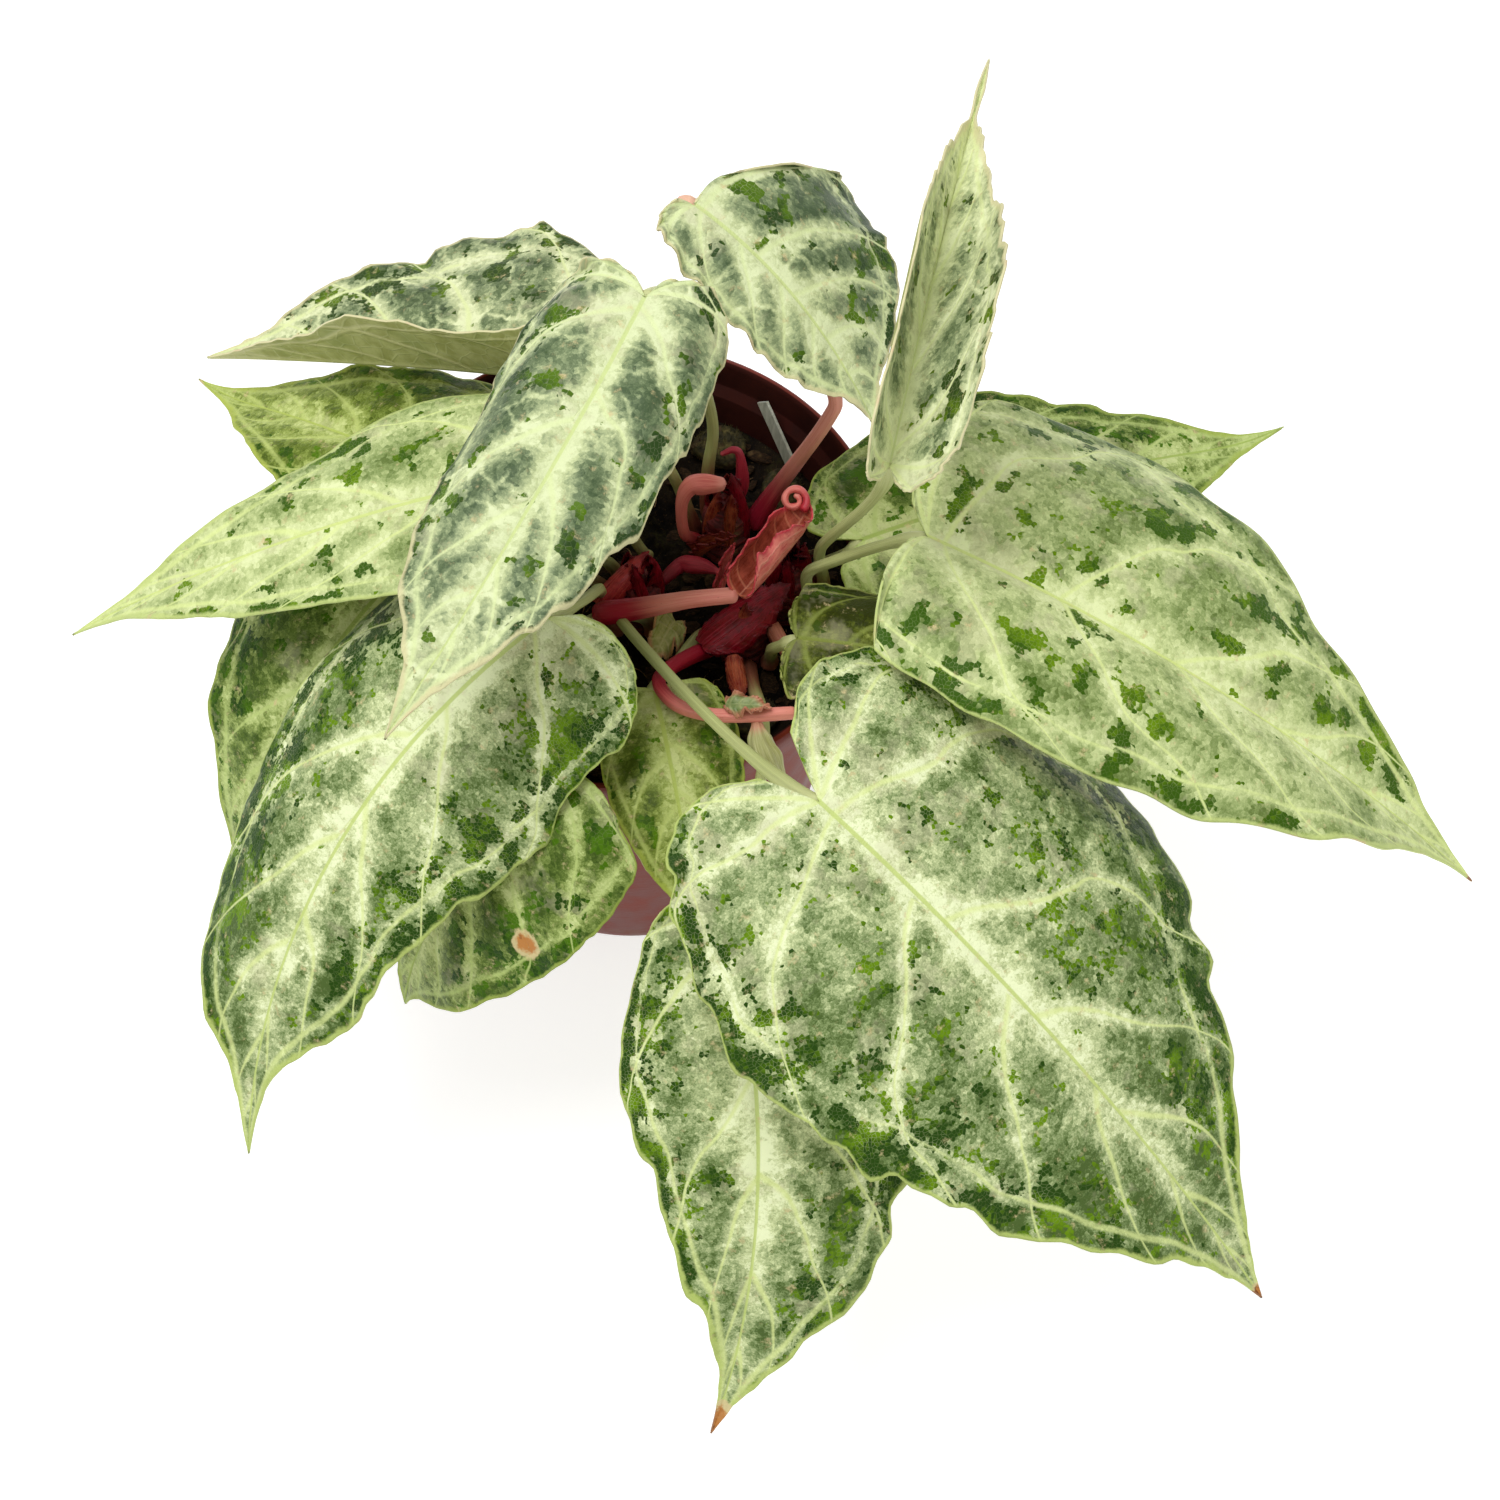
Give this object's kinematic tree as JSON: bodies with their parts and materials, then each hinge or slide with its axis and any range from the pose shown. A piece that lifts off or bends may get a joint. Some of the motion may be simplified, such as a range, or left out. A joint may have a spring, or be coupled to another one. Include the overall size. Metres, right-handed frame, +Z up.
{
  "type": "potted anthurium",
  "caption": "Potted foliage anthurium: heart-shaped silvery leaves with pale veins on long stalks over a round nursery pot filled with soil, with red young growth at the crown.",
  "frame": {"origin": "centre of the pot's underside, on the surface it stands on", "axes": "+Z up; the side with the long hanging leaves faces -Y; +X is to its right, seen from the front"},
  "size_m": [0.3295, 0.2904, 0.2087],
  "materials": {
    "terracotta_plastic": "satin",
    "potting_mix": "matte",
    "stem_bark": "satin",
    "silver_green_leaf": "satin",
    "petiole_green": "satin",
    "petiole_pink": "satin",
    "young_rose": "satin",
    "young_coral": "satin",
    "sheath_crimson": "satin",
    "sheath_amber": "satin",
    "pale_lime_leaf": "satin",
    "moss_olive": "matte",
    "grey_plastic": "satin"
  },
  "bodies": {
    "root": {"pot": "terracotta_plastic", "soil": "potting_mix", "stem_left": "stem_bark", "stem_back": "stem_bark", "stem_right": "stem_bark", "stem_middle": "stem_bark", "blade_front_right": "silver_green_leaf", "petiole_front_right": "petiole_green", "blade_right": "silver_green_leaf", "petiole_right": "petiole_green", "blade_front_left": "silver_green_leaf", "petiole_front_left": "petiole_green", "blade_left": "silver_green_leaf", "petiole_left": "petiole_green", "blade_top": "silver_green_leaf", "petiole_top": "petiole_green", "blade_back_left": "silver_green_leaf", "petiole_back_left": "petiole_green", "blade_left_under": "silver_green_leaf", "petiole_left_under": "petiole_green", "blade_back": "silver_green_leaf", "petiole_back": "petiole_pink", "blade_back_right": "silver_green_leaf", "petiole_back_right": "petiole_green", "blade_right_under": "silver_green_leaf", "petiole_right_under": "petiole_green", "blade_small_right": "silver_green_leaf", "petiole_small_right": "petiole_green", "blade_lower_left": "silver_green_leaf", "petiole_lower_left": "petiole_green", "blade_far_left": "silver_green_leaf", "petiole_far_left": "petiole_green", "blade_middle_under": "silver_green_leaf", "petiole_middle_under": "petiole_green", "blade_front": "silver_green_leaf", "petiole_front": "petiole_green", "young_petiole": "young_rose", "curled_petiole": "young_rose", "folded_leaf": "young_rose", "rolled_leaf": "young_coral", "young_leaf": "young_coral", "red_spike": "sheath_crimson", "bean_leaf": "sheath_crimson", "crimson_sheath": "sheath_crimson", "red_sheath": "sheath_crimson", "dry_sheath": "sheath_amber", "amber_sheath": "sheath_amber", "hanging_sheath": "sheath_amber", "pale_leaf": "pale_lime_leaf", "crumpled_leaf": "pale_lime_leaf", "moss_back": "moss_olive", "moss_right": "moss_olive", "moss_front": "moss_olive", "label_strip": "grey_plastic"}
  },
  "joints": []
}
